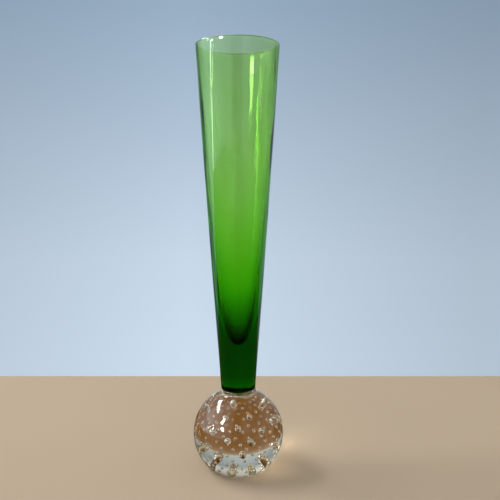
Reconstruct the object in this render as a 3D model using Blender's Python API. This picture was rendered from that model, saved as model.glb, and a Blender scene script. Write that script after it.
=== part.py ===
"""Bud vase: a green glass flute with a solid stem, welded on a ball of clear glass full of air bubbles.

Metres, +Z up. The origin is on the surface that the vase stands on, under the middle of the ball.
The ball is two gathers of clear glass. A spiked mould pressed rows of dimples into the core, and the
casing closes them into bubbles. Underneath, where the core left the iron, both are ground flat.
The flute's foot is welded into a shallow seat on top of the casing.
"""

import math

import bmesh
import bpy
from mathutils import Matrix, Vector

MM = 0.001

# Clearance between two bodies of glass that are fused on the real vase
WELD_GAP = 0.3 * MM

# Ball
BALL_RADIUS = 27.2 * MM
BASE_GRIND_DEPTH = 6.55 * MM
BASE_EDGE_RADIUS = 0.8 * MM

# Core, with the short neck where it was cut from the iron
CORE_SHARE = 0.79
CORE_NECK_RADIUS = 7.5 * MM
CORE_NECK_LENGTH = 2.6 * MM

# Air bubbles, in staggered rows round the core, which twisted a little as it was blown
BUBBLE_RADIUS = 0.95 * MM
BUBBLE_SINK = 0.4 * MM
BUBBLE_ROWS = 14
BUBBLES_PER_ROW = 19
LOWEST_ROW = math.radians(-47.6)
HIGHEST_ROW = math.radians(64.2)
FIRST_BUBBLE_TURN = math.radians(2.4)
TWIST_PER_ROW = math.radians(1.2)

# Flute
FLUTE_LENGTH = 203.2 * MM
FOOT_RADIUS = 10.1 * MM
FOOT_CORNER_RADIUS = 2.6 * MM
RIM_RADIUS = 23.8 * MM
RIM_WALL = 1.0 * MM
FLUTE_SWELL = 0.3 * MM
SOLID_STEM_LENGTH = 29.2 * MM
HOLLOW_POWER = 0.48
LIP_ROUND_SHARE = 0.45

# Seat on top of the ball, with the collar of clear glass drawn up round the foot
SEAT_SECTION_SHARE = 0.82
COLLAR_HEIGHT = 1.2 * MM
COLLAR_WALL = 0.5 * MM
COLLAR_FILLET_RADIUS = 2.0 * MM

# Fineness of the turned shapes
SEGMENTS = 48
BALL_STEPS = 15
CORE_STEPS = 7
ARC_STEPS = 3
WALL_STEPS = 8
HOLLOW_STEPS = 12
BUBBLE_SIDES = 6
BUBBLE_RINGS = 3
MERGE_DISTANCE = 0.001 * MM
SHARP_ANGLE = math.radians(40)

# Glass
GREEN = (0.03, 0.36, 0.02)
CORE_CLEAR = (0.92, 0.90, 0.85)
CASING_CLEAR = (0.95, 0.93, 0.88)
GLASS_ROUGHNESS = 0.02
GLASS_IOR = 1.52

# Heights and radii that follow from the sizes above
BALL_CENTRE_HEIGHT = BALL_RADIUS - BASE_GRIND_DEPTH
CORE_RADIUS = BALL_RADIUS * CORE_SHARE
SEAT_SECTION_RADIUS = FOOT_RADIUS * SEAT_SECTION_SHARE
SEAT_HEIGHT = BALL_CENTRE_HEIGHT + math.sqrt(BALL_RADIUS**2 - SEAT_SECTION_RADIUS**2)
FOOT_HEIGHT = SEAT_HEIGHT + WELD_GAP
RIM_HEIGHT = FOOT_HEIGHT + FLUTE_LENGTH
HOLLOW_BOTTOM_HEIGHT = FOOT_HEIGHT + SOLID_STEM_LENGTH
CORE_NECK_TURN = math.acos(CORE_NECK_RADIUS / CORE_RADIUS)
CORE_DEPTH = (BALL_CENTRE_HEIGHT - CORE_NECK_LENGTH) / math.sin(CORE_NECK_TURN)


def spread(first, last, steps):
    """Evenly spaced values from first to last, both included."""
    return [first + (last - first) * step / steps for step in range(steps + 1)]


def arc_corner(before, corner, after, radius):
    """Points of the arc that rounds a corner of an outline and touches both of its sides."""
    to_before = (before - corner).normalized()
    to_after = (after - corner).normalized()
    half_angle = to_before.angle(to_after) / 2
    centre = corner + (to_before + to_after).normalized() * radius / math.sin(half_angle)
    first = corner + to_before * radius / math.tan(half_angle) - centre
    last = corner + to_after * radius / math.tan(half_angle) - centre
    turn = first.angle(last)
    points = []
    for angle in spread(0, turn, ARC_STEPS):
        mix = (first * math.sin(turn - angle) + last * math.sin(angle)) / math.sin(turn)
        points.append(centre + mix)
    return points


def foot_arc(extra, turn):
    """The foot's rounded corner from its flat upwards through turn, grown by extra."""
    centre = Vector((FOOT_RADIUS - FOOT_CORNER_RADIUS, FOOT_HEIGHT + FOOT_CORNER_RADIUS))
    radius = FOOT_CORNER_RADIUS + extra
    return [centre + radius * Vector((math.sin(a), -math.cos(a))) for a in spread(0, turn, ARC_STEPS)]


def flute_outline():
    """Half outline of the flute, from the middle of its foot up the outside and down the hollow."""
    points = [Vector((0, FOOT_HEIGHT))]
    points += foot_arc(0, math.pi / 2)
    wall_bottom = points[-1].y
    for share in spread(0, 1, WALL_STEPS)[1:]:
        radius = FOOT_RADIUS + (RIM_RADIUS - FOOT_RADIUS) * share + FLUTE_SWELL * math.sin(math.pi * share)
        points.append(Vector((radius, wall_bottom + (RIM_HEIGHT - wall_bottom) * share)))
    outer_corner = points.pop()
    inner_corner = Vector((RIM_RADIUS - RIM_WALL, RIM_HEIGHT))
    hollow = []
    for step in spread(1, 0, HOLLOW_STEPS):
        depth_share = step**2
        radius = inner_corner.x * depth_share**HOLLOW_POWER
        height = HOLLOW_BOTTOM_HEIGHT + (RIM_HEIGHT - HOLLOW_BOTTOM_HEIGHT) * depth_share
        hollow.append(Vector((radius, height)))
    lip_radius = RIM_WALL * LIP_ROUND_SHARE
    points += arc_corner(points[-1], outer_corner, inner_corner, lip_radius)
    points += arc_corner(outer_corner, inner_corner, hollow[1], lip_radius)
    return points + hollow[1:]


def on_oval(angle, radius, half_height):
    """Point of an upright oval round the ball's centre, at an angle above its widest level."""
    return Vector((radius * math.cos(angle), BALL_CENTRE_HEIGHT + half_height * math.sin(angle)))


def core_outline(extra):
    """Half outline of the core from its top to the end of its neck, grown by extra.

    The upper half is round. The lower half is an oval that ends on the neck at the neck's length.
    """
    radius = CORE_RADIUS + extra
    neck_radius = CORE_NECK_RADIUS + extra
    neck_angle = -math.acos(neck_radius / radius)
    upper = [on_oval(angle, radius, radius) for angle in spread(math.pi / 2, 0, CORE_STEPS)]
    lower = [on_oval(angle, radius, CORE_DEPTH + extra) for angle in spread(0, neck_angle, CORE_STEPS)]
    return upper[:-1] + lower + [Vector((neck_radius, 0))]


def casing_outline():
    """Half outline of the casing, from the middle of its seat over the ball and up its cavity."""
    socket_radius = FOOT_CORNER_RADIUS + WELD_GAP
    socket = foot_arc(WELD_GAP, math.acos(1 - COLLAR_HEIGHT / socket_radius))
    collar_top = socket[-1] + Vector((COLLAR_WALL, 0))
    top_angle = math.acos(collar_top.x / BALL_RADIUS)
    base_angle = -math.asin(BALL_CENTRE_HEIGHT / BALL_RADIUS)
    ball = [on_oval(angle, BALL_RADIUS, BALL_RADIUS) for angle in spread(top_angle, base_angle, BALL_STEPS)]
    cavity = core_outline(WELD_GAP)[::-1]
    points = [Vector((0, SEAT_HEIGHT))] + socket + [collar_top]
    points += arc_corner(collar_top, ball[0], ball[1], COLLAR_FILLET_RADIUS)
    points += ball[1:-1]
    points += arc_corner(ball[-2], ball[-1], cavity[0], BASE_EDGE_RADIUS)
    return points + cavity


def turned(name, outline, material):
    """A closed body turned from a half outline that starts and ends on the Z axis."""
    shape = bmesh.new()
    verts = [shape.verts.new((point.x, 0, point.y)) for point in outline]
    edges = [shape.edges.new(pair) for pair in zip(verts, verts[1:])]
    bmesh.ops.spin(
        shape,
        geom=verts + edges,
        cent=(0, 0, 0),
        axis=(0, 0, 1),
        angle=math.tau,
        steps=SEGMENTS,
        use_merge=True,
    )
    bmesh.ops.remove_doubles(shape, verts=shape.verts, dist=MERGE_DISTANCE)
    bmesh.ops.recalc_face_normals(shape, faces=shape.faces)
    return placed(name, shape, material)


def placed(name, shape, material):
    """Link a new object that holds the shape, shaded smooth."""
    mesh = bpy.data.meshes.new(name)
    shape.to_mesh(mesh)
    shape.free()
    mesh.shade_smooth()
    mesh.set_sharp_from_angle(angle=SHARP_ANGLE)
    mesh.materials.append(material)
    piece = bpy.data.objects.new(name, mesh)
    bpy.context.scene.collection.objects.link(piece)
    return piece


def glass(name, color):
    """Smooth glass of one colour."""
    material = bpy.data.materials.new(name)
    material.use_nodes = True
    surface = material.node_tree.nodes["Principled BSDF"]
    surface.inputs["Base Color"].default_value = (*color, 1)
    surface.inputs["Roughness"].default_value = GLASS_ROUGHNESS
    surface.inputs["Metallic"].default_value = 0
    surface.inputs["IOR"].default_value = GLASS_IOR
    surface.inputs["Transmission Weight"].default_value = 1
    return material


def bubble_cutter(material):
    """One small ball of air at each place that a spike of the mould marked."""
    shell_radius = CORE_RADIUS - BUBBLE_SINK
    shell_depth = CORE_DEPTH - BUBBLE_SINK
    ball_centre = Vector((0, 0, BALL_CENTRE_HEIGHT))
    shape = bmesh.new()
    for row, latitude in enumerate(spread(LOWEST_ROW, HIGHEST_ROW, BUBBLE_ROWS - 1)):
        level = on_oval(latitude, shell_radius, shell_radius if latitude > 0 else shell_depth)
        row_turn = FIRST_BUBBLE_TURN + row * TWIST_PER_ROW
        for place in range(BUBBLES_PER_ROW):
            turn = row_turn + math.tau * (place + row % 2 / 2) / BUBBLES_PER_ROW
            centre = Vector((level.x * math.cos(turn), level.x * math.sin(turn), level.y))
            facing = (centre - ball_centre).to_track_quat("Z", "X").to_matrix().to_4x4()
            bmesh.ops.create_uvsphere(
                shape,
                u_segments=BUBBLE_SIDES,
                v_segments=BUBBLE_RINGS,
                radius=BUBBLE_RADIUS,
                matrix=Matrix.Translation(centre) @ facing,
            )
    cutter = placed("bubble_cutter", shape, material)
    cutter.hide_render = True
    cutter.display_type = "WIRE"
    return cutter


def make_flute():
    """The blown green flute: a solid stem that opens into a thin-walled trumpet."""
    turned("green_flute", flute_outline(), glass("green_glass", GREEN))


def make_core():
    """The inner gather of clear glass, dimpled all over by the mould."""
    material = glass("clear_core_glass", CORE_CLEAR)
    outline = core_outline(0) + [Vector((0, 0))]
    core = turned("ball_core", outline, material)
    dimples = core.modifiers.new("dimples", "BOOLEAN")
    dimples.operation = "DIFFERENCE"
    dimples.solver = "EXACT"
    dimples.object = bubble_cutter(material)


def make_casing():
    """The outer gather of clear glass, with the foot's seat on top and a ground ring below."""
    turned("ball_casing", casing_outline(), glass("clear_casing_glass", CASING_CLEAR))


def main():
    for old in list(bpy.data.objects):
        bpy.data.objects.remove(old)
    make_flute()
    make_core()
    make_casing()


main()
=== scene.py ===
"""Looks of a bud vase: a slim green flute with a solid stem, fused on a clear ball full of air bubbles.

Metres, +Z up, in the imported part's own frame. The flute and the ball are surfaces worked out on
grids of rows by sides. Their glass, and the plain stage round them, are made of shader nodes.
"""

import math

import bpy
import numpy as np
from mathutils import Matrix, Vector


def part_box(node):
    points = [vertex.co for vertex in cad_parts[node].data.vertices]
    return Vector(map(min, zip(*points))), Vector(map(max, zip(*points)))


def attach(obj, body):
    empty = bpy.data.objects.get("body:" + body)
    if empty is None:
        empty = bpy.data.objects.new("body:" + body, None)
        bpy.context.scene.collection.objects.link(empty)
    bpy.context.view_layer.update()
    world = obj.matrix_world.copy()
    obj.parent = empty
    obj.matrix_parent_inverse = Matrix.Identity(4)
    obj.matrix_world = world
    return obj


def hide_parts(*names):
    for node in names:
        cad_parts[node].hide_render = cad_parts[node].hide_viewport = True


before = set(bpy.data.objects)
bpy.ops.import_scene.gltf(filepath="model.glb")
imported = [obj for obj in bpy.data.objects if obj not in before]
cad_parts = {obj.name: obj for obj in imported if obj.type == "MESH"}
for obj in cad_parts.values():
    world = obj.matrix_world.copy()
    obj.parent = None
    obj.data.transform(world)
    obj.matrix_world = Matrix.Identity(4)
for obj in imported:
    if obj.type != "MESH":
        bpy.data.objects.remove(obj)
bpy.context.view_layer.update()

bl_info = {
    "name": "Bud Vase",
    "version": (1, 0, 0),
    "blender": (4, 5, 0),
    "location": "View3D > Sidebar > Bud Vase",
    "description": "Glass, bubbles and a plain stage for a bud vase",
    "category": "Object",
}

MM = 0.001
FLUTE_LOW, FLUTE_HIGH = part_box("green_flute")
CORE_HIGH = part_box("ball_core")[1]

GLASS_IOR = 1.52
WHITE = (1, 1, 1)
STRIPE_TINT = (0.95, 0.965, 0.93)
JOINT_COLOUR = (0.98, 0.99, 0.98)

# Patterns: bumps for each metre, how much finer detail they have, and how they are drawn out
DRAWN_STRIPES = {"scale": 110, "detail": 2.0, "stretch": (1, 1, 0.04)}
DRAWN_CORDS = {"scale": 420, "detail": 3.0, "stretch": (1, 1, 0.03)}
FLUTE_SKIN = {"scale": 180, "detail": 1.0}
FLUTE_SMUDGES = {"scale": 55, "detail": 4.0, "roughness": 0.6, "distortion": 0.6}
BALL_SKIN = {"scale": 140, "detail": 1.5}
BALL_SMUDGES = {"scale": 70, "detail": 4.0, "roughness": 0.6, "distortion": 0.5}
BASE_SCRATCHES = {"scale": 2600, "detail": 2.0, "stretch": (1, 0.06, 1)}
FLOOR_CLOUDS = {"scale": 6, "detail": 3.0}

# What a pattern becomes: from low, from high, to low, to high
SOFT_PATCHES = (0.35, 0.65, 0, 1)
FLUTE_POLISH = (0.5, 0.8, 0.0, 0.05)
BALL_POLISH = (0.52, 0.8, 0.0, 0.04)
GROUND_FINISH = (0.4, 0.7, 0.02, 0.16)

# How strongly a pattern bends the light, and how deep it is
CORD_BUMP = (0.12, 0.1 * MM)
FLUTE_SKIN_BUMP = (0.05, 0.1 * MM)
BALL_SKIN_BUMP = (0.06, 0.2 * MM)
SCRATCH_BUMP = (0.1, 0.02 * MM)

# Where the tints begin and end: the stem's in lengths of the solid stem above the foot, the painted
# light that lifts the stem's tint near the foot in heights above it, the lip's painted shade in
# depths below the rim, and the ground base's in heights
STEM_TINT_NONE, STEM_TINT_FULL = 2.1, 0.9
PAINTED_FOOT_LIGHT_FULL, PAINTED_FOOT_LIGHT_NONE = 2 * MM, 7 * MM
LIP_SHADE_NONE, LIP_SHADE_FULL = 0.8 * MM, 0.4 * MM
GROUND_FULL, GROUND_NONE = 0.1 * MM, 0.5 * MM


def length(name, description, default):
    """A size in metres for the panel, given in millimetres."""
    return bpy.props.FloatProperty(
        name=name,
        description=description,
        default=default * MM,
        precision=5,
        subtype="DISTANCE",
        unit="LENGTH",
    )


def colour(name, description, default):
    """A linear colour for the panel."""
    return bpy.props.FloatVectorProperty(
        name=name,
        description=description,
        default=default,
        min=0,
        max=1,
        size=3,
        subtype="COLOR",
    )


def number(name, description, default):
    """A plain number for the panel."""
    return bpy.props.FloatProperty(name=name, description=description, default=default, precision=4)


class FluteSizes(bpy.types.PropertyGroup):
    """Shape and colour of the green flute."""

    foot_radius: length("Foot radius", "Outer radius just above the foot's rounded corner", 10.35)
    foot_corner: length("Foot corner", "Radius of the foot's rounded corner", 2.6)
    rim_radius: length("Rim radius", "Outer radius at the rim", 24.15)
    rim_wall: length("Rim wall", "Thickness of the wall at the rim", 1.0)
    rim_bead: length("Rim bead", "How much the fire-polished lip is thicker than the wall below it", 0.25)
    rim_bead_height: length("Rim bead height", "Height over which the lip's thickening fades", 1.1)
    swell: length("Swell", "How far the long side bulges out of a straight line", 0.3)
    solid_stem: length("Solid stem", "Height of solid glass between the foot and the hollow", 29.2)
    hollow_power: number("Hollow power", "The hollow's radius grows with its height to this power", 0.48)
    outer_wave: length("Outer wave", "Unevenness that the tools left outside", 0.055)
    inner_wave: length("Inner wave", "Unevenness inside the hollow", 0.075)
    ripple: length("Ripple", "Finer unevenness inside the hollow", 0.02)
    glass: colour("Green", "Colour that the green glass takes with depth", (0.5875, 0.89, 0.0625))
    density: number("Density", "Absorption of the green glass, for each metre", 800)
    stem_tint: colour("Stem tint", "Extra tint of the thick stem's glass", (0.5, 0.42, 0.5))
    # Painted shade: a darker tint on the lip, so that it looks less lit by the light it catches
    lip_painted_shade: colour("Lip tint", "Extra tint of the fire-polished lip", (0.5, 0.62, 0.5))
    gloss_tint: colour("Gloss tint", "Tint of what the green glass mirrors face on", (0.8, 0.9, 0.8))


class BallSizes(bpy.types.PropertyGroup):
    """Shape of the clear ball, its collar and its bubbles."""

    radius: length("Radius", "Radius of the ball", 27.2)
    base_edge: length("Base edge", "Radius of the ground base's edge", 0.8)
    collar_height: length("Collar height", "Height of the collar above the seat of the foot", 1.2)
    collar_wall: length("Collar wall", "Thickness of the collar's lip", 0.5)
    collar_fillet: length("Collar fillet", "Radius of the hollow between the collar and the ball", 2.0)
    weld_gap: length("Weld gap", "Room between the foot and its seat", 0.3)
    wave: length("Wave", "Unevenness of the ball's skin", 0.02)
    bubble_radius: length("Bubble radius", "Radius of an air bubble", 0.95)
    bubble_sink: length("Bubble sink", "How far the bubbles' middles lie inside the core's skin", 0.4)
    bubble_rows: bpy.props.IntProperty(
        name="Bubble rows",
        description="Rows of bubbles from the ball's bottom to its top",
        default=14,
    )
    bubbles_per_row: bpy.props.IntProperty(
        name="Bubbles per row",
        description="Bubbles round the ball in each row",
        default=19,
    )
    lowest_row: bpy.props.FloatProperty(
        name="Lowest row",
        description="Latitude of the lowest row",
        default=math.radians(-47.6),
        subtype="ANGLE",
    )
    highest_row: bpy.props.FloatProperty(
        name="Highest row",
        description="Latitude of the highest row",
        default=math.radians(64.2),
        subtype="ANGLE",
    )
    first_turn: bpy.props.FloatProperty(
        name="First bubble",
        description="Turn of the lowest row's first bubble",
        default=math.radians(2.4),
        subtype="ANGLE",
    )
    twist: bpy.props.FloatProperty(
        name="Twist",
        description="Turn of each row past the row below it",
        default=math.radians(1.2),
        subtype="ANGLE",
    )
    glass: colour("Clear glass", "Faint warm tint of the clear glass", (0.91, 0.82, 0.64))


class StageLook(bpy.types.PropertyGroup):
    """The plain floor, the pale background, the soft boxes and the camera."""

    floor_colour: colour("Floor", "Colour of the plain floor", (0.55, 0.43, 0.31))
    floor_mirrored: colour("Mirrored floor", "Floor's colour in glass's mirror images", (0.05, 0.035, 0.02))
    far_mirrored: colour("Far floor mirrored", "The same for the floor far away", (0.5, 0.58, 0.68))
    floor_through_glass: colour("Floor in glass", "Floor's colour through glass", (0.235, 0.1, 0.014))
    # Painted sheen: the floor seen through glass pales towards this colour, standing in for daylight
    # mirrored by a glossy floor
    floor_sheen: colour("Floor's sheen", "The same to the left and at the back", (0.95, 0.95, 0.92))
    floor_back: length("Floor's back", "How far the floor reaches behind the vase", 171)
    floor_reach: length("Floor's reach", "How far the floor reaches to the sides and the front", 2500)
    wash_low: colour("Low background", "Background colour near the floor", (0.61, 0.73, 0.863))
    wash_middle: colour("Middle background", "Background colour behind the stem", (0.575, 0.69, 0.82))
    wash_high: colour("High background", "Background colour above the vase", (0.32, 0.43, 0.555))
    sky: colour("Sky", "Colour that the glass shows from high up", (0.62, 0.68, 0.74))
    fill: number("Fill", "Strength of the even light from all round", 0.6)
    camera_side: length("Camera side", "How far the camera stands to the right of the vase", 7.1)
    camera_distance: length("Camera distance", "How far the camera stands in front of the vase", 355.1)
    camera_height: length("Camera height", "Height of the camera above the floor", 170.3)
    camera_pitch: bpy.props.FloatProperty(
        name="Camera pitch",
        description="How far the camera looks down",
        default=math.radians(6.13),
        subtype="ANGLE",
    )
    camera_lens: number("Camera lens", "Focal length in millimetres", 43.42)


def arc(centre, radius, first, last, steps):
    """Points centre + radius * (cos a, sin a), for angles a from first to last."""
    angles = np.linspace(first, last, steps + 1)
    return np.array(centre) + radius * np.stack([np.cos(angles), np.sin(angles)], axis=1)


def straight(first, last, steps):
    """Evenly spaced points from first to last."""
    return np.linspace(first, last, steps + 1)


def joined(*stretches):
    """One outline of (radius, height) rows from stretches that each start where the last one ends."""
    return np.concatenate([stretches[0], *[stretch[1:] for stretch in stretches[1:]]])


def waves(turn, height, lobes, least, count, seed):
    """Gentle unevenness: the sum of cosines cos(n turn + k height + phase) over the root of their count.

    The lobes n are whole, so that the surface closes on itself, and no wave is shorter than least.
    """
    draw = np.random.default_rng(seed)
    n = draw.integers(lobes[0], lobes[1] + 1, count)
    k = draw.uniform(-math.tau, math.tau, count) / least
    phase = draw.uniform(0, math.tau, count)
    total = np.cos(turn[..., None] * n + height[..., None] * k + phase).sum(axis=-1)
    return total / math.sqrt(count)


def turned_faces(rows, sides):
    """Quads and pole triangles of a turned grid whose first and last rows are single points.

    Seen from outside they run round the axis first and up the outline next, so they face outwards
    when the outline starts below, runs up the outside and ends on the axis.
    """
    first = 1 + np.arange(rows - 3)[:, None] * sides
    here = np.arange(sides)[None, :]
    beside = (here + 1) % sides
    quads = np.stack([first + here, first + beside, first + sides + beside, first + sides + here], axis=-1)
    last_ring = 1 + (rows - 3) * sides
    top = 1 + (rows - 2) * sides
    low = np.stack([np.zeros(sides, int), 1 + beside[0], 1 + here[0]], axis=-1)
    high = np.stack([np.full(sides, top), last_ring + here[0], last_ring + beside[0]], axis=-1)
    return quads.reshape(-1, 4), low, high


def turned_points(radius, height, turn):
    """Points (r cos t, r sin t, h) of a grid, with its first and last rows drawn into one point each."""
    grid = np.stack([radius * np.cos(turn), radius * np.sin(turn), height], axis=-1)
    return np.concatenate([grid[0, :1], grid[1:-1].reshape(-1, 3), grid[-1, :1]])


def turned_grid(outline, sides):
    """Radius, height and turn at each point of an outline that is turned round the axis."""
    turn = np.broadcast_to(np.arange(sides) * math.tau / sides, (len(outline), sides))
    return np.broadcast_to(outline[:, :1], turn.shape), np.broadcast_to(outline[:, 1:], turn.shape), turn


def made_piece(name, points, faces, material):
    """A smooth-shaded object in the scene, with its place in its mesh."""
    mesh = bpy.data.meshes.new(name)
    mesh.from_pydata(points, [], faces)
    mesh.shade_smooth()
    mesh.materials.append(material)
    piece = bpy.data.objects.new(name, mesh)
    bpy.context.scene.collection.objects.link(piece)
    return piece


class NodeDesk:
    """Short hand for building one node tree."""

    # The Mix node's inputs for its share and its two colours, and its output for the blended colour
    mix_inputs = (0, 6, 7)
    mix_output = 2

    def __init__(self, tree):
        self.tree = tree

    def fill(self, socket, value):
        """Link a value that is a socket, and set any other. A colour is given without its alpha."""
        if isinstance(value, bpy.types.NodeSocket):
            self.tree.links.new(value, socket)
        elif socket.type == "RGBA":
            socket.default_value = (*value, 1)
        else:
            socket.default_value = value

    def add(self, kind, settings=(), inputs=()):
        """A new node with its settings, and with its inputs filled by name or number."""
        node = self.tree.nodes.new(kind)
        for name, value in dict(settings).items():
            setattr(node, name, value)
        for name, value in dict(inputs).items():
            self.fill(node.inputs[name], value)
        return node

    def output(self, kind, **shaders):
        """The tree's output node, with a shader node for each input that is named."""
        self.add(kind, inputs={name: node.outputs[0] for name, node in shaders.items()})

    def noise(self, vector, scale, detail, roughness=0.5, distortion=0.0, stretch=None):
        """Noise of about scale bumps for each metre, drawn out where stretch is below 1."""
        if stretch:
            inputs = {"Vector": vector, "Scale": stretch}
            vector = self.add("ShaderNodeMapping", inputs=inputs).outputs["Vector"]
        inputs = {"Vector": vector, "Scale": scale, "Detail": detail, "Roughness": roughness}
        inputs["Distortion"] = distortion
        return self.add("ShaderNodeTexNoise", inputs=inputs).outputs["Fac"]

    def ranged(self, value, low, high, to_low, to_high):
        """value taken from low..high to to_low..to_high, held at the ends."""
        names = ("From Min", "From Max", "To Min", "To Max")
        inputs = {"Value": value, **dict(zip(names, (low, high, to_low, to_high)))}
        return self.add("ShaderNodeMapRange", inputs=inputs).outputs["Result"]

    def maths(self, operation, first, second=0):
        """first and second under a Math node's operation."""
        inputs = {0: first, 1: second}
        return self.add("ShaderNodeMath", {"operation": operation}, inputs).outputs[0]

    def split(self, vector):
        """The outputs X, Y and Z of a vector."""
        return self.add("ShaderNodeSeparateXYZ", inputs={0: vector}).outputs

    def blended(self, share, first, second):
        """A colour between first and second."""
        node = self.add("ShaderNodeMix", {"data_type": "RGBA"})
        for place, value in zip(self.mix_inputs, (share, first, second)):
            self.fill(node.inputs[place], value)
        return node.outputs[self.mix_output]

    def scaled(self, value, share):
        """A colour multiplied by a number."""
        inputs = {0: value, "Scale": share}
        return self.add("ShaderNodeVectorMath", {"operation": "SCALE"}, inputs).outputs[0]

    def bumped(self, height, strength, distance, normal=None):
        """A normal bent by a height map."""
        inputs = {"Height": height, "Strength": strength, "Distance": distance}
        if normal is not None:
            inputs["Normal"] = normal
        return self.add("ShaderNodeBump", inputs=inputs).outputs["Normal"]


def new_material(name):
    """An empty material and its node desk."""
    material = bpy.data.materials.new(name)
    material.use_nodes = True
    material.node_tree.nodes.clear()
    return material, NodeDesk(material.node_tree)


def green_glass(sizes):
    """Green glass that deepens with its thickness, with drawn cords, faint smudges and a darker stem."""
    material, desk = new_material("green_flute_glass")
    place = desk.add("ShaderNodeTexCoord").outputs["Object"]
    height = desk.split(place)["Z"]
    stem_top = FLUTE_LOW.z + sizes.solid_stem * STEM_TINT_NONE
    stem_low = FLUTE_LOW.z + sizes.solid_stem * STEM_TINT_FULL
    stem = desk.ranged(height, stem_top, stem_low, 0, 1)
    # Painted light: a few millimetres above the foot the stem's extra tint fades out, so the foot looks lit
    # as if light came in through the fused joint
    foot = desk.ranged(height, FLUTE_LOW.z + PAINTED_FOOT_LIGHT_FULL, FLUTE_LOW.z + PAINTED_FOOT_LIGHT_NONE, 0, 1)
    # Painted shade: the lip is tinted darker just below the rim
    lip = desk.ranged(height, FLUTE_HIGH.z - LIP_SHADE_NONE, FLUTE_HIGH.z - LIP_SHADE_FULL, 0, 1)
    stripes = desk.noise(place, **DRAWN_STRIPES)
    drawn = desk.blended(desk.ranged(stripes, *SOFT_PATCHES), STRIPE_TINT, WHITE)
    tint = desk.blended(desk.maths("MULTIPLY", stem, foot), drawn, sizes.stem_tint)
    tint = desk.blended(lip, tint, sizes.lip_painted_shade)
    smudges = desk.noise(place, **FLUTE_SMUDGES)
    normal = desk.bumped(desk.noise(place, **DRAWN_CORDS), *CORD_BUMP)
    normal = desk.bumped(desk.noise(place, **FLUTE_SKIN), *FLUTE_SKIN_BUMP, normal)
    surface = desk.add(
        "ShaderNodeBsdfPrincipled",
        inputs={
            "Base Color": tint,
            "Roughness": desk.ranged(smudges, *FLUTE_POLISH),
            "IOR": GLASS_IOR,
            "Transmission Weight": 1.0,
            "Specular Tint": sizes.gloss_tint,
            "Normal": normal,
        },
    )
    inputs = {"Color": sizes.glass, "Density": sizes.density}
    depth = desk.add("ShaderNodeVolumeAbsorption", inputs=inputs)
    desk.output("ShaderNodeOutputMaterial", Surface=surface, Volume=depth)
    return material


def clear_glass(sizes):
    """Clear glass with a gently uneven skin, a few smudges, and a ground base with fine scratches."""
    material, desk = new_material("clear_ball_glass")
    place = desk.add("ShaderNodeTexCoord").outputs["Object"]
    base = desk.ranged(desk.split(place)["Z"], GROUND_FULL, GROUND_NONE, 1, 0)
    scratches = desk.noise(place, **BASE_SCRATCHES)
    polish = desk.ranged(desk.noise(place, **BALL_SMUDGES), *BALL_POLISH)
    ground = desk.maths("MULTIPLY", base, desk.ranged(scratches, *GROUND_FINISH))
    normal = desk.bumped(desk.noise(place, **BALL_SKIN), *BALL_SKIN_BUMP)
    normal = desk.bumped(desk.maths("MULTIPLY", base, scratches), *SCRATCH_BUMP, normal)
    surface = desk.add(
        "ShaderNodeBsdfPrincipled",
        inputs={
            "Base Color": sizes.glass,
            "Roughness": desk.maths("ADD", polish, ground),
            "IOR": GLASS_IOR,
            "Transmission Weight": 1.0,
            "Normal": normal,
        },
    )
    desk.output("ShaderNodeOutputMaterial", Surface=surface)
    return material


def weld():
    """The fused joint under the flute's foot, where glass meets glass and nothing shows."""
    material, desk = new_material("fused_joint")
    surface = desk.add("ShaderNodeBsdfPrincipled", inputs={"Base Color": JOINT_COLOUR, "Alpha": 0.0})
    desk.output("ShaderNodeOutputMaterial", Surface=surface)
    return material


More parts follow.
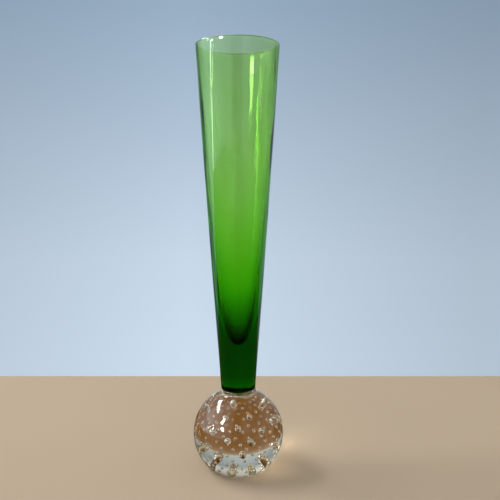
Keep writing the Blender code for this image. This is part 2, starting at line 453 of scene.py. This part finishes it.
class BUDVASE_OT_make_flute(bpy.types.Operator):
    """Make the blown green flute, with its solid stem and its fire-polished rim"""

    bl_idname = "bud_vase.make_flute"
    bl_label = "Make Flute"

    sides = 240
    wall_rows = 110
    hollow_rows = 90
    corner_rows = 10
    foot_rows = 5

    # Waves in the glass: fewest and most lobes, least height of a wave, how many, and their seed
    broad_outside = ((2, 7), 35 * MM, 14, 3)
    fine_outside = ((8, 22), 60 * MM, 20, 4)
    broad_inside = ((2, 8), 30 * MM, 14, 8)
    fine_inside = ((9, 26), 60 * MM, 20, 9)
    ripple_inside = ((3, 16), 11 * MM, 16, 12)
    lip_waves = ((1, 4), 50 * MM, 4, 15)
    fine_share_outside = 0.25
    fine_share_inside = 0.3
    lip_wave = 0.12 * MM
    lip_wave_reach = 6 * MM

    def outline(self, sizes):
        """Half outline from the middle of the foot, up the outside, over the lip and down the hollow.

        Outside, radius = foot + (rim - foot) s + swell sin(pi s) for the share s of the height. The
        lip is half a circle. In the hollow, radius = inner rim radius * t^power for the share t, less
        the bead: bead * exp(-(depth below the lip / bead height - 1)^2).
        """
        foot, corner, wall = sizes.foot_radius, sizes.foot_corner, sizes.rim_wall
        low, high = FLUTE_LOW.z, FLUTE_HIGH.z
        lip = high - wall / 2
        bottom = straight((0, low), (foot - corner, low), self.foot_rows)
        turn = arc((foot - corner, low + corner), corner, -math.pi / 2, 0, self.corner_rows)
        s = np.linspace(0, 1, self.wall_rows + 1)
        radius = foot + (sizes.rim_radius - foot) * s + sizes.swell * np.sin(np.pi * s)
        outside = np.stack([radius, low + corner + (lip - low - corner) * s], axis=1)
        rim = arc((sizes.rim_radius - wall / 2, lip), wall / 2, 0, math.pi, self.corner_rows)
        t = np.linspace(1, 0, self.hollow_rows + 1) ** 2
        depth = lip - low - sizes.solid_stem
        bead = sizes.rim_bead * np.exp(-(((1 - t) * depth / sizes.rim_bead_height - 1) ** 2))
        radius = (sizes.rim_radius - wall) * t**sizes.hollow_power - bead
        inside = np.stack([radius, low + sizes.solid_stem + depth * t], axis=1)
        return joined(bottom, turn, outside, rim, inside)

    def execute(self, context):
        sizes = context.scene.bud_vase_flute
        outline = self.outline(sizes)
        radius, height, turn = turned_grid(outline, self.sides)
        broad_out = waves(turn, height, *self.broad_outside)
        fine_out = waves(turn, height, *self.fine_outside) * self.fine_share_outside
        broad_in = waves(turn, height, *self.broad_inside)
        fine_in = waves(turn, height, *self.fine_inside) * self.fine_share_inside
        ripple_in = waves(turn, height, *self.ripple_inside)
        outer = sizes.outer_wave * (broad_out + fine_out)
        inner = sizes.inner_wave * (broad_in + fine_in) + sizes.ripple * ripple_in
        is_inside = np.arange(len(outline))[:, None] >= len(outline) - self.hollow_rows
        uneven = np.where(is_inside, inner, outer) * (radius / sizes.rim_radius)
        lip = waves(turn, height * 0, *self.lip_waves) * self.lip_wave
        near_rim = np.exp(-((FLUTE_HIGH.z - height) / self.lip_wave_reach))
        points = turned_points(radius + uneven, height + lip * near_rim, turn)
        quads, low, high = turned_faces(len(outline), self.sides)
        faces = quads.tolist() + low.tolist() + high.tolist()
        piece = made_piece("flute_glass", points, faces, green_glass(sizes))
        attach(piece, "root")
        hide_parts("green_flute")
        return {"FINISHED"}


class BUDVASE_OT_make_ball(bpy.types.Operator):
    """Make the clear ball with its rows of bubbles, its collar and its ground base"""

    bl_idname = "bud_vase.make_ball"
    bl_label = "Make Ball"

    sides = 240
    ball_rows = 110
    flat_rows = 8
    corner_rows = 8
    collar_rows = 2
    bubble_sides = 10
    bubble_bands = 5
    joint_slot = 1

    # Waves in the skin as on the flute, and the height over which they fade above the base and
    # below the foot
    skin_waves = ((2, 7), 25 * MM, 14, 31)
    skin_wave_fade = 6 * MM

    # How unevenly the bubbles sit and how much their sizes differ, and their length along the
    # ball's radius as a share of their width
    bubble_seed = 21
    latitude_scatter = 0.008
    longitude_scatter = 0.012
    size_scatter = 0.05
    bubble_length = 1.08

    def outline(self, sizes, flute, middle):
        """Half outline from the middle of the base, up the ball, over the collar and down to the seat.

        The base's edge and the hollow under the collar are arcs that touch the ball: their middles lie
        at radius - edge and at radius + fillet from its middle. It also gives the row where the cup
        round the foot begins.
        """
        ball, edge, fillet = sizes.radius, sizes.base_edge, sizes.collar_fillet
        edge_x = math.sqrt((ball - edge) ** 2 - (middle - edge) ** 2)
        edge_turn = math.atan2(edge - middle, edge_x)
        socket = flute.foot_corner + sizes.weld_gap
        seat = FLUTE_LOW.z - sizes.weld_gap
        socket_turn = math.acos(1 - sizes.collar_height / socket) - math.pi / 2
        socket_middle = (flute.foot_radius - flute.foot_corner, seat + socket)
        lip_inner = socket_middle[0] + socket * math.cos(socket_turn)
        lip = sizes.collar_wall / 2
        side_x = lip_inner + sizes.collar_wall
        fillet_x = side_x + fillet
        fillet_z = middle + math.sqrt((ball + fillet) ** 2 - fillet_x**2)
        fillet_turn = math.atan2(fillet_z - middle, fillet_x)
        base = straight((0, 0), (edge_x, 0), self.flat_rows)
        base_edge = arc((edge_x, edge), edge, -math.pi / 2, edge_turn, self.corner_rows)
        side = arc((0, middle), ball, edge_turn, fillet_turn, self.ball_rows)
        hollow = arc((fillet_x, fillet_z), fillet, math.pi + fillet_turn, math.pi, self.corner_rows)
        lip_z = seat + sizes.collar_height
        collar_side = straight((side_x, fillet_z), (side_x, lip_z), self.collar_rows)
        collar_lip = arc((side_x - lip, lip_z), lip, 0, math.pi, self.corner_rows)
        cup = arc(socket_middle, socket, socket_turn, -math.pi / 2, self.corner_rows)
        floor = straight((socket_middle[0], seat), (0, seat), self.flat_rows)
        outline = joined(base, base_edge, side, hollow, collar_side, collar_lip, cup, floor)
        return outline, len(outline) - self.corner_rows - self.flat_rows - 1

    def bubbles(self, sizes, middle):
        """Points and faces of all bubbles, which face into the air.

        Bubble j of a row has the row's latitude and lies j spaces round, with half a space more in
        every other row, and both are scattered a little. Each is a grid of sides by bands,
        (sin v cos u, sin v sin u, -cos v), times its radius and drawn out a little along the ball's.
        """
        draw = np.random.default_rng(self.bubble_seed)
        rows, places = sizes.bubble_rows, sizes.bubbles_per_row
        latitude = np.linspace(sizes.lowest_row, sizes.highest_row, rows)[:, None]
        latitude = latitude + draw.normal(0, self.latitude_scatter, (rows, places))
        row = np.arange(rows)[:, None]
        share = (np.arange(places) + row % 2 / 2) / places
        longitude = sizes.first_turn + row * sizes.twist + math.tau * share
        longitude = longitude + draw.normal(0, self.longitude_scatter, (rows, places))
        out = np.cos(latitude) * np.cos(longitude), np.cos(latitude) * np.sin(longitude), np.sin(latitude)
        out = np.stack(out, axis=-1).reshape(-1, 3)
        east = np.stack([-np.sin(longitude), np.cos(longitude), 0 * longitude], axis=-1).reshape(-1, 3)
        north = np.cross(out, east)
        centre = out * (CORE_HIGH.x - sizes.bubble_sink) + np.array([0, 0, middle])
        size = sizes.bubble_radius * draw.normal(1, self.size_scatter, len(out))[:, None, None]
        v = np.linspace(0, math.pi, self.bubble_bands + 1)[:, None]
        u = np.arange(self.bubble_sides)[None, :] * math.tau / self.bubble_sides
        unit = turned_points(np.sin(v) + 0 * u, -np.cos(v) + 0 * u, u + 0 * v)
        axes = np.stack([east, north, self.bubble_length * out], axis=1)
        points = centre[:, None] + size * (unit @ axes)
        quads, low, high = turned_faces(self.bubble_bands + 1, self.bubble_sides)
        shift = (np.arange(len(out)) * len(unit))[:, None, None]
        quads = (quads[:, ::-1][None] + shift).reshape(-1, 4)
        triangles = (np.concatenate([low, high])[:, ::-1][None] + shift).reshape(-1, 3)
        return points.reshape(-1, 3), quads, triangles

    def execute(self, context):
        sizes = context.scene.bud_vase_ball
        middle = CORE_HIGH.z - CORE_HIGH.x
        outline, seat_row = self.outline(sizes, context.scene.bud_vase_flute, middle)
        radius, height, turn = turned_grid(outline, self.sides)
        above_base = np.clip(height / self.skin_wave_fade, 0, 1)
        below_foot = np.clip((FLUTE_LOW.z - height) / self.skin_wave_fade, 0, 1)
        uneven = sizes.wave * waves(turn, height, *self.skin_waves) * (above_base * below_foot)
        skin = turned_points(radius + uneven, height, turn)
        quads, low, high = turned_faces(len(outline), self.sides)
        air, air_quads, air_triangles = self.bubbles(sizes, middle)
        air_quads, air_triangles = air_quads + len(skin), air_triangles + len(skin)
        fours = quads.tolist() + air_quads.tolist()
        threes = low.tolist() + high.tolist() + air_triangles.tolist()
        points = np.concatenate([skin, air])
        piece = made_piece("ball_glass", points, fours + threes, clear_glass(sizes))
        piece.data.materials.append(weld())
        slots = np.zeros(len(fours) + len(threes), np.int32)
        seat = len(fours) + len(low)
        slots[seat_row * self.sides : len(quads)] = self.joint_slot
        slots[seat : seat + len(high)] = self.joint_slot
        piece.data.polygons.foreach_set("material_index", slots)
        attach(piece, "root")
        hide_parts("ball_core", "ball_casing")
        return {"FINISHED"}


class BUDVASE_OT_make_stage(bpy.types.Operator):
    """Make the plain floor, the pale background, the soft boxes and the camera"""

    bl_idname = "bud_vase.make_stage"
    bl_label = "Make Stage"

    # The floor's slab, and how it is shaded
    floor_drop = 0.05 * MM
    floor_thickness = 25 * MM
    floor_roughness = 0.6
    cloud_shade = 0.97

    # Where the floor's tones in glass change, in metres: from low, from high, to low, to high
    far_floor = (0.45, 1.2, 0, 1)
    near_floor = (0.08, 0.25, 1, 0)
    # left_sheen: where the painted sheen of daylight grows towards the left
    left_sheen = (-0.3, -0.08, 1, 0)

    # The root of the painted sheen at the floor's back edge, and the share of the way there where it begins
    back_sheen = 0.8
    back_sheen_start = 0.15

    # A ray that has passed more faces of glass than solid_faces went through the hollow or a bubble,
    # and one with fewer mirror images than no_mirror has none
    solid_faces = 3.5
    no_mirror = 0.5

    # Where the background changes, by the parts of a ray's direction: from low, from high, to low,
    # to high. The first three are seen everywhere, and the others only in glass. The wash is
    # brightest a little left of straight ahead.
    low_rise = (-0.27, -0.12, 0, 1)
    high_rise = (-0.12, 0.27, 0, 1)
    side_fade = (0, 0.45, 1, 0.75)
    daylight_rise = (-0.17, -0.01, 0, 1)
    glow_rise = (0.2, 0.4, 0, 0.9)
    glow_behind = (-0.3, 0.2, 0.15, 1)
    glow_left = (-0.5, -0.1, 1.9, 1)
    direct_rise = (0.25, 0.45, 0, 1)
    sky_rise = (0.22, 0.34, 0, 1)
    sky_fade = (0.45, 0.75, 1, 0.5)
    brightest_left = 0.10
    even_light = (0.94, 0.97, 1)

    # How bright the room is in glass against the wash, by the turn from straight behind the vase:
    # degrees, brightness
    room = (
        (-180, 0.02),
        (-168, 0.05),
        (-160, 1.2),
        (-118, 1.7),
        (-105, 2.0),
        (-96, 2.6),
        (-76, 2.3),
        (-60, 0.9),
        (-46, 0.4),
        (-41, 0.35),
        (-29, 0.42),
        (-20, 0.45),
        (-15, 0.85),
        (-12, 1.1),
        (14, 0.97),
        (24, 0.7),
        (45, 0.6),
        (62, 0.6),
        (80, 0.4),
        (98, 0.15),
        (104, 0.5),
        (145, 0.5),
        (149, 1.0),
        (164, 1.0),
        (168, 0.02),
        (180, 0.02),
    )
    # How much brightness daylight adds to that above the camera's level
    daylight = (
        (-180, 0.0),
        (-152, 0.1),
        (-136, 1.0),
        (-120, 1.3),
        (-74, 1.6),
        (-60, 0.6),
        (-48, 0.0),
        (62, 0.0),
        (75, 0.3),
        (90, 0.3),
        (105, 0.0),
    )
    room_peak = 4.0

    # Soft boxes: turn from the camera's side in degrees, distance, low edge, high edge and width in
    # metres, lean in degrees, brightness, and whether the floor is lit by it too
    boxes = {
        "high_left": (-110, 0.8, 0.80, 1.02, 0.73, 0, 18, True),
        "front_left_upper": (-50, 2.5, 1.52, 2.60, 0.42, 0, 24, False),
        "front_left_lower": (-43, 2.5, 0.83, 1.13, 0.36, 0, 190, False),
        "front_left_lowest": (-43, 2.5, 0.69, 0.80, 0.14, 0, 70, False),
        "slit_low": (-70, 2.5, 0.55, 0.80, 0.09, 0, 45, False),
        "slit_middle": (-73, 2.5, 0.82, 1.00, 0.07, 0, 28, False),
        "slit_high": (-87, 2.5, 0.72, 0.95, 0.06, 0, 30, False),
        "left_strip": (-75.4, 1.2, 0.29, 0.52, 0.05, 45, 9, False),
        "left_strip_low": (-85.6, 1.2, 0.10, 0.28, 0.05, 45, 6, False),
    }
    # Watts for each square metre of a soft box of brightness 1
    box_watts = 4

    # The nearest distance that the camera sees, and how often light may pass through glass, be
    # mirrored and pass through the fused joint
    nearest_seen = 10 * MM
    glass_bounces = 24
    mirror_bounces = 12
    joint_passes = 16

    def floor_tone(self, desk, look):
        """The floor's colour, a little cloudy, with tones of its own where only glass shows it.

        In mirror images it is deep, and pale far away. Through solid glass, or close to the vase
        through any glass, it is amber, and it pales to the left and towards its back edge: a painted
        sheen of daylight mirrored by a glossy floor.
        """
        place = desk.add("ShaderNodeTexCoord").outputs["Object"]
        clouds = desk.ranged(desk.noise(place, **FLOOR_CLOUDS), *SOFT_PATCHES)
        shade = [self.cloud_shade * part for part in look.floor_colour]
        tone = desk.blended(clouds, shade, look.floor_colour)
        ray = desk.add("ShaderNodeLightPath").outputs
        distance = desk.add("ShaderNodeVectorMath", {"operation": "LENGTH"}, {0: place}).outputs["Value"]
        axes = desk.split(place)
        mirrored = desk.maths("SUBTRACT", ray["Is Glossy Ray"], ray["Is Transmission Ray"])
        far = desk.ranged(distance, *self.far_floor)
        tone = desk.blended(mirrored, tone, desk.blended(far, look.floor_mirrored, look.far_mirrored))
        solid = desk.maths("LESS_THAN", ray["Transmission Depth"], self.solid_faces)
        near = desk.ranged(distance, *self.near_floor)
        deep = desk.maths("MULTIPLY", ray["Is Transmission Ray"], desk.maths("MAXIMUM", solid, near))
        # Painted sheen: the floor through glass pales to the left and at its back, standing in for daylight
        # mirrored by a glossy floor
        left = desk.ranged(axes["X"], *self.left_sheen)
        start = self.back_sheen_start * look.floor_back
        back = desk.ranged(axes["Y"], start, look.floor_back, 0, self.back_sheen)
        sheen = desk.maths("MAXIMUM", left, desk.maths("MULTIPLY", back, back))
        through = desk.blended(sheen, look.floor_through_glass, look.floor_sheen)
        return desk.blended(deep, tone, through)

    def floor(self, look):
        """A plain slab whose top is the surface that the vase stands on."""
        reach, back = look.floor_reach, look.floor_back
        x = np.array([-reach, reach, reach, -reach] * 2)
        y = np.array([-reach, -reach, back, back] * 2)
        z = np.repeat([-self.floor_drop - self.floor_thickness, -self.floor_drop], 4)
        faces = [(3, 2, 1, 0), (4, 5, 6, 7), (0, 1, 5, 4), (1, 2, 6, 5), (2, 3, 7, 6), (3, 0, 4, 7)]
        material, desk = new_material("plain_floor")
        inputs = {"Base Color": self.floor_tone(desk, look), "Roughness": self.floor_roughness}
        inputs["Specular IOR Level"] = 0.0
        surface = desk.add("ShaderNodeBsdfPrincipled", inputs=inputs)
        desk.output("ShaderNodeOutputMaterial", Surface=surface)
        mesh = bpy.data.meshes.new("floor")
        mesh.from_pydata(np.stack([x, y, z], axis=1), [], faces)
        mesh.materials.append(material)
        slab = bpy.data.objects.new("floor", mesh)
        bpy.context.scene.collection.objects.link(slab)

    def levels(self, desk, share, stops):
        """A number that runs from stop to stop as the turn's share of a full turn grows."""
        ramp = desk.add("ShaderNodeValToRGB", inputs={0: share})
        places = ramp.color_ramp.elements
        given = len(places)
        for index, (degrees, level) in enumerate(stops):
            at = degrees / 360 + 0.5
            place = places[index] if index < given else places.new(at)
            place.position = at
            place.color = (level / self.room_peak,) * 3 + (1,)
        return desk.maths("MULTIPLY", ramp.outputs[0], self.room_peak)

    def room_in_glass(self, desk, look, axes, wash):
        """The wash as glass shows it, with a paler sky above.

        In mirror images it is brighter or darker by the turn, with daylight above the camera's level
        and a glow higher up behind the vase. Straight through the glass it is as bright as beside it,
        or as in a mirror image high up where that is brighter.
        """
        x, y, z = (axes[axis] for axis in "XYZ")
        share = desk.ranged(desk.maths("ARCTAN2", x, y), -math.pi, math.pi, 0, 1)
        rise = desk.ranged(z, *self.daylight_rise)
        daylight = desk.maths("MULTIPLY", self.levels(desk, share, self.daylight), rise)
        level = desk.maths("ADD", self.levels(desk, share, self.room), daylight)
        glow = desk.ranged(z, *self.glow_rise)
        glow = desk.maths("MULTIPLY", glow, desk.ranged(y, *self.glow_behind))
        glow = desk.maths("MULTIPLY", glow, desk.ranged(x, *self.glow_left))
        level = desk.maths("MAXIMUM", level, glow)
        direct = desk.maths("MULTIPLY", level, desk.ranged(z, *self.direct_rise))
        direct = desk.maths("MAXIMUM", direct, 1.0)
        mirrors = desk.add("ShaderNodeLightPath").outputs["Glossy Depth"]
        level = desk.ranged(desk.maths("LESS_THAN", mirrors, self.no_mirror), 0, 1, level, direct)
        tone = desk.blended(desk.ranged(z, *self.sky_rise), wash, look.sky)
        return desk.scaled(desk.scaled(tone, desk.ranged(z, *self.sky_fade)), level)

    def background(self, look, scene):
        """A pale wash that darkens upwards, the room as glass shows it, and even light elsewhere."""
        world = bpy.data.worlds.new("studio")
        world.use_nodes = True
        world.node_tree.nodes.clear()
        desk = NodeDesk(world.node_tree)
        axes = desk.split(desk.add("ShaderNodeTexCoord").outputs["Generated"])
        wash = desk.blended(desk.ranged(axes["Z"], *self.low_rise), look.wash_low, look.wash_middle)
        wash = desk.blended(desk.ranged(axes["Z"], *self.high_rise), wash, look.wash_high)
        aside = desk.maths("ABSOLUTE", desk.maths("ADD", axes["X"], self.brightest_left))
        wash = desk.scaled(wash, desk.ranged(aside, *self.side_fade))
        room = self.room_in_glass(desk, look, axes, wash)
        ray = desk.add("ShaderNodeLightPath").outputs
        sharp = desk.maths("MAXIMUM", ray["Is Glossy Ray"], ray["Is Transmission Ray"])
        even = {"Color": self.even_light, "Strength": look.fill}
        shown = [
            desk.add("ShaderNodeBackground", inputs=inputs).outputs[0]
            for inputs in (even, {"Color": room, "Strength": 1.0}, {"Color": wash, "Strength": 1.0})
        ]
        mix = desk.add("ShaderNodeMixShader", inputs={0: sharp, 1: shown[0], 2: shown[1]})
        inputs = {0: ray["Is Camera Ray"], 1: mix.outputs[0], 2: shown[2]}
        desk.output("ShaderNodeOutputWorld", Surface=desk.add("ShaderNodeMixShader", inputs=inputs))
        scene.world = world

    def soft_box(self, name, turn, distance, low, high, width, lean, brightness, on_floor):
        """A rectangle of even light, upright or leaning, that faces the vase's axis from one side."""
        light = bpy.data.lights.new(name, "AREA")
        light.shape = "RECTANGLE"
        lean = math.radians(lean)
        light.size, light.size_y = width, (high - low) / math.cos(lean)
        light.energy = brightness * self.box_watts * light.size * light.size_y
        lamp = bpy.data.objects.new(name, light)
        angle = math.radians(turn)
        lamp.location = (distance * math.sin(angle), -distance * math.cos(angle), (low + high) / 2)
        lamp.rotation_euler = (math.pi / 2, lean, angle)
        lamp.visible_camera = False
        lamp.visible_diffuse = on_floor
        bpy.context.scene.collection.objects.link(lamp)

    def camera(self, look, scene):
        """A camera in front of the vase that looks a little down."""
        data = bpy.data.cameras.new("camera")
        data.lens = look.camera_lens
        data.clip_start = self.nearest_seen
        camera = bpy.data.objects.new("camera", data)
        camera.location = (look.camera_side, -look.camera_distance, look.camera_height)
        camera.rotation_euler = (math.pi / 2 - look.camera_pitch, 0, 0)
        scene.collection.objects.link(camera)
        scene.camera = camera

    def execute(self, context):
        look = context.scene.bud_vase_stage
        scene = context.scene
        self.floor(look)
        self.background(look, scene)
        for name, values in self.boxes.items():
            self.soft_box(name, *values)
        self.camera(look, scene)
        scene.view_settings.view_transform = "Standard"
        scene.cycles.max_bounces = self.glass_bounces
        scene.cycles.transmission_bounces = self.glass_bounces
        scene.cycles.glossy_bounces = self.mirror_bounces
        scene.cycles.transparent_max_bounces = self.joint_passes
        return {"FINISHED"}


class BUDVASE_PT_sidebar(bpy.types.Panel):
    """Lists what the vase is made of."""

    bl_idname = "BUDVASE_PT_sidebar"
    bl_label = "Bud Vase"
    bl_space_type = "VIEW_3D"
    bl_region_type = "UI"
    bl_category = "Bud Vase"

    def draw(self, context):
        layout = self.layout
        for title, group, operator in GROUPS:
            box = layout.box()
            box.label(text=title)
            settings = getattr(context.scene, group)
            for name in settings.bl_rna.properties.keys():
                if name not in ("rna_type", "name"):
                    box.prop(settings, name)
            box.operator(operator)


GROUPS = (
    ("Flute", "bud_vase_flute", BUDVASE_OT_make_flute.bl_idname),
    ("Ball", "bud_vase_ball", BUDVASE_OT_make_ball.bl_idname),
    ("Stage", "bud_vase_stage", BUDVASE_OT_make_stage.bl_idname),
)

CLASSES = (
    FluteSizes,
    BallSizes,
    StageLook,
    BUDVASE_OT_make_flute,
    BUDVASE_OT_make_ball,
    BUDVASE_OT_make_stage,
    BUDVASE_PT_sidebar,
)


def register():
    for kind in CLASSES:
        bpy.utils.register_class(kind)
    bpy.types.Scene.bud_vase_flute = bpy.props.PointerProperty(type=FluteSizes)
    bpy.types.Scene.bud_vase_ball = bpy.props.PointerProperty(type=BallSizes)
    bpy.types.Scene.bud_vase_stage = bpy.props.PointerProperty(type=StageLook)


def unregister():
    del bpy.types.Scene.bud_vase_stage
    del bpy.types.Scene.bud_vase_ball
    del bpy.types.Scene.bud_vase_flute
    for kind in reversed(CLASSES):
        bpy.utils.unregister_class(kind)


def main():
    register()
    bpy.ops.bud_vase.make_flute()
    bpy.ops.bud_vase.make_ball()
    bpy.ops.bud_vase.make_stage()


if __name__ == "__main__":
    main()
